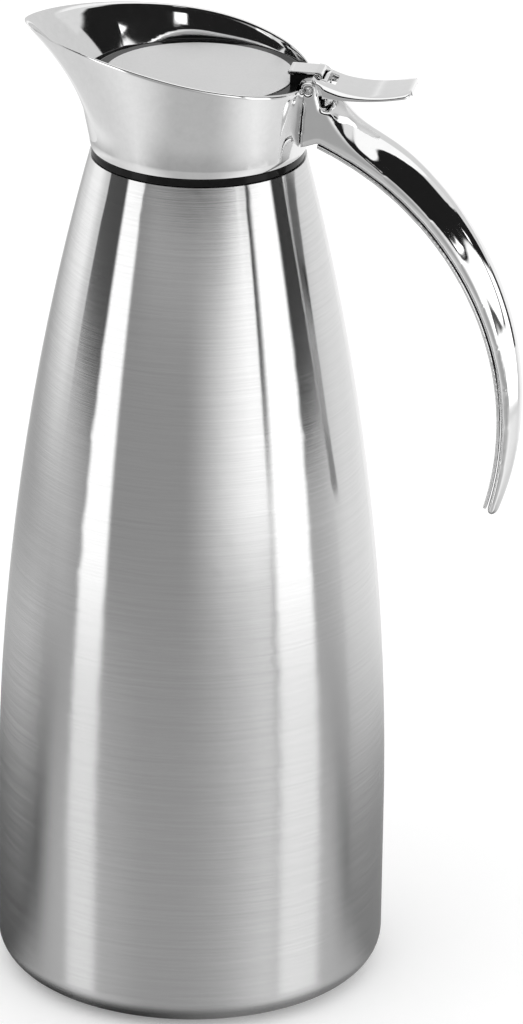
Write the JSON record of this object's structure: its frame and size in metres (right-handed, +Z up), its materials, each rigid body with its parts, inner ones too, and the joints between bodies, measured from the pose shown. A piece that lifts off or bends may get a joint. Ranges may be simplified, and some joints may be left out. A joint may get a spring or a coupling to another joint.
{
  "type": "insulated jug",
  "caption": "Tall bell-shaped double-walled steel pouring jug with a flared spout collar, a flip lid lifted by a thumb lever, and a curved handle open at its lower end.",
  "frame": {"origin": "centre of the foot ring on the table plane, on the body's axis", "axes": "+Z up along the body's axis, +X towards the handle, spout towards -X, symmetric about the XZ plane"},
  "size_m": [0.1668, 0.125, 0.3155],
  "materials": {
    "brushed_steel": "satin, brushed round the body",
    "flask_steel": "plain drawn stainless",
    "polished_steel": "mirror polished stainless",
    "polished_cast": "chromed casting",
    "screw_steel": "plain stainless",
    "spring_steel": "drawn spring wire",
    "getter_metal": "dull grey metal",
    "black_plastic": "satin black moulding",
    "gloss_black": "glossy black moulding",
    "silicone": "dark silicone rubber",
    "foam": "rigid insulating foam"
  },
  "bodies": {
    "jug": {"outer_shell": "brushed_steel", "inner_flask": "flask_steel", "getter": "getter_metal", "base_cap": "flask_steel", "vacuum_bead": "getter_metal", "base_cover": "black_plastic", "foot_ring": "silicone", "neck_ring": "black_plastic", "flask_seal": "silicone", "pour_insert": "black_plastic", "collar": "polished_steel", "handle": "polished_cast", "handle_strip": "polished_cast", "handle_screws": "screw_steel", "hinge_pin": "screw_steel", "return_spring": "spring_steel"},
    "lid": {"lid_body": "gloss_black", "lid_disc": "polished_steel", "lid_strap": "polished_steel", "lid_seal": "silicone", "lid_plug": "black_plastic", "plug_foam": "foam", "plug_screw": "screw_steel"},
    "lever": {"thumb_lever": "polished_cast"}
  },
  "joints": [
    {"name": "lid_hinge", "type": "hinge", "parent": "jug", "child": "lid", "pos_m": [0.0356, 0, 0.301], "axis": [0, 1, 0], "range_deg": [0, 19], "stiffness_Nm_per_rad": 0.03, "springref_deg": -40.11, "deforming": ["return_spring"]},
    {"name": "lever_hinge", "type": "hinge", "parent": "jug", "child": "lever", "pos_m": [0.0356, 0, 0.301], "axis": [0, 1, 0], "range_deg": [0, 19]}
  ],
  "couplings": [
    {"joint": "lever_hinge", "follows": "lid_hinge", "ratio": 1}
  ]
}
